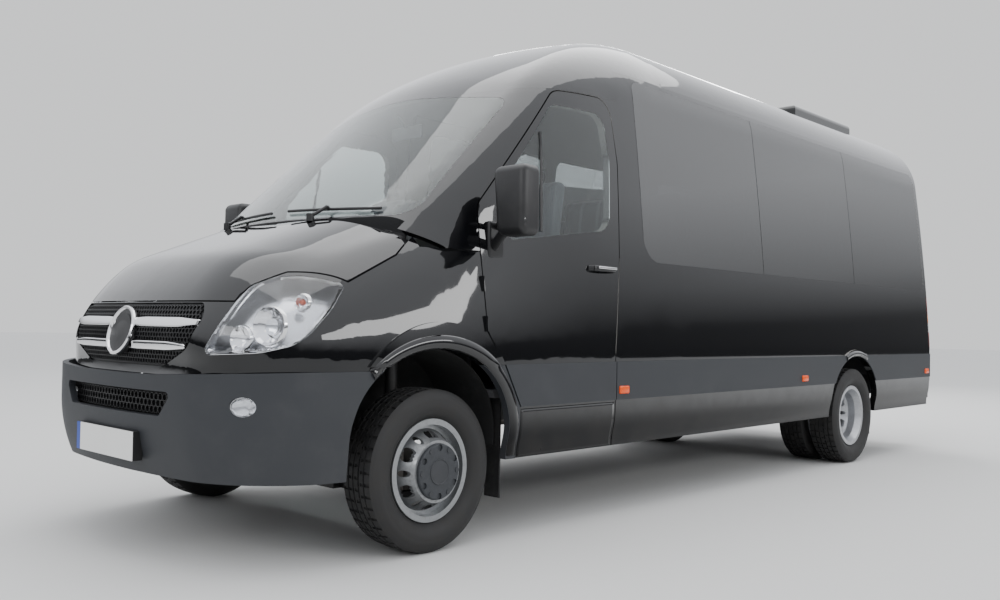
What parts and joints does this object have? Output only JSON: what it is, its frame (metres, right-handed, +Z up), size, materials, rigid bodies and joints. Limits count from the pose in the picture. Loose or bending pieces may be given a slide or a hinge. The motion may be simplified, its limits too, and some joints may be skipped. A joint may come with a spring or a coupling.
{
  "type": "minibus",
  "caption": "Long high-roof minibus with glazed sides, hinged cab doors, twin rear doors, lifting bonnet, steered front wheels and twin rear wheels.",
  "frame": {"origin": "on the ground, midway along the length and the width", "axes": "-Y is ahead, +X is the left side of the vehicle, +Z is up"},
  "size_m": [2.41, 6.959, 2.765],
  "materials": {
    "black_paint": "gloss black paint",
    "dark_plastic": "grained dark grey plastic",
    "dark_glass": "dark tinted glass",
    "clear_glass": "clear glass",
    "lamp_glass": "clear lamp cover",
    "tail_lamp": "red lamp cover",
    "tyre_rubber": "black rubber",
    "wheel_silver": "silver paint",
    "chassis_black": "satin black paint",
    "cast_metal": "dark cast metal",
    "cabin_plastic": "grey moulded plastic",
    "floor_covering": "grey floor covering",
    "seat_fabric": "woven grey fabric",
    "flap_rubber": "black rubber",
    "plate_white": "bare white plate"
  },
  "bodies": {
    "body": {"arch_liners": "chassis_black", "bulkhead": "chassis_black", "cab_frame": "black_paint", "chassis_frame": "chassis_black", "cowl": "dark_plastic", "dashboard": "cabin_plastic", "engine": "cast_metal", "exhaust": "cast_metal", "floor": "floor_covering", "fog_lamps": "lamp_glass", "front_bumper": "dark_plastic", "front_suspension": "chassis_black", "fuel_tank": "dark_plastic", "grille": "dark_plastic", "headlamps": "lamp_glass", "mud_flaps": "flap_rubber", "number_plate": "plate_white", "rear_axle": "cast_metal", "rear_bumper": "dark_plastic", "rear_frame": "black_paint", "roof": "black_paint", "roof_unit": "black_paint", "seat_bases": "chassis_black", "seat_cushions": "seat_fabric", "side_glass": "dark_glass", "side_panels": "black_paint", "side_strips": "dark_plastic", "sliding_door": "black_paint", "steering_wheel": "cabin_plastic", "tail_lamps": "tail_lamp", "windscreen": "clear_glass", "wings": "black_paint"},
    "door_front_left": {"door_left": "black_paint", "door_glass_left": "clear_glass", "door_strip_left": "dark_plastic", "mirror_left": "dark_plastic"},
    "door_front_right": {"door_right": "black_paint", "door_glass_right": "clear_glass", "door_strip_right": "dark_plastic", "mirror_right": "dark_plastic"},
    "door_rear_left": {"rear_door_left": "black_paint", "rear_glass_left": "dark_glass"},
    "door_rear_right": {"rear_door_right": "black_paint", "rear_glass_right": "dark_glass"},
    "bonnet": {"bonnet": "black_paint"},
    "knuckle_left": {"knuckle_left": "cast_metal"},
    "knuckle_right": {"knuckle_right": "cast_metal"},
    "wheel_front_left": {"tyre_front_left": "tyre_rubber", "rim_front_left": "wheel_silver"},
    "wheel_front_right": {"tyre_front_right": "tyre_rubber", "rim_front_right": "wheel_silver"},
    "wheel_rear_left": {"tyres_rear_left": "tyre_rubber", "rims_rear_left": "wheel_silver"},
    "wheel_rear_right": {"tyres_rear_right": "tyre_rubber", "rims_rear_right": "wheel_silver"}
  },
  "joints": [
    {"name": "front_door_left", "type": "hinge", "parent": "body", "child": "door_front_left", "pos_m": [0.9807, -2.1698, 0.98], "axis": [0.1419, 0, -0.9899], "range_deg": [0, 68]},
    {"name": "front_door_right", "type": "hinge", "parent": "body", "child": "door_front_right", "pos_m": [-0.9807, -2.1698, 0.98], "axis": [0.1419, 0, 0.9899], "range_deg": [0, 68]},
    {"name": "rear_door_left", "type": "hinge", "parent": "body", "child": "door_rear_left", "pos_m": [0.871, 3.4735, 0.9], "axis": [0, 0, -1], "range_deg": [0, 180]},
    {"name": "rear_door_right", "type": "hinge", "parent": "body", "child": "door_rear_right", "pos_m": [-0.871, 3.4735, 0.9], "axis": [0, 0, 1], "range_deg": [0, 180]},
    {"name": "bonnet_lid", "type": "hinge", "parent": "body", "child": "bonnet", "pos_m": [0, -2.4215, 1.38], "axis": [-1, 0, 0], "range_deg": [0, 55]},
    {"name": "steer_left", "type": "hinge", "parent": "body", "child": "knuckle_left", "pos_m": [0.772, -2.4615, 0.35], "axis": [0, 0, 1], "range_deg": [-32, 32]},
    {"name": "steer_right", "type": "hinge", "parent": "body", "child": "knuckle_right", "pos_m": [-0.772, -2.4615, 0.35], "axis": [0, 0, 1], "range_deg": [-32, 32]},
    {"name": "wheel_spin_front_left", "type": "hinge", "parent": "knuckle_left", "child": "wheel_front_left", "pos_m": [0.855, -2.4615, 0.35], "axis": [1, 0, 0], "continuous": true},
    {"name": "wheel_spin_front_right", "type": "hinge", "parent": "knuckle_right", "child": "wheel_front_right", "pos_m": [-0.855, -2.4615, 0.35], "axis": [1, 0, 0], "continuous": true},
    {"name": "wheel_spin_rear_left", "type": "hinge", "parent": "body", "child": "wheel_rear_left", "pos_m": [0.76, 1.8635, 0.35], "axis": [1, 0, 0], "continuous": true},
    {"name": "wheel_spin_rear_right", "type": "hinge", "parent": "body", "child": "wheel_rear_right", "pos_m": [-0.76, 1.8635, 0.35], "axis": [1, 0, 0], "continuous": true}
  ],
  "couplings": [
    {"joint": "steer_right", "follows": "steer_left", "ratio": 1}
  ]
}
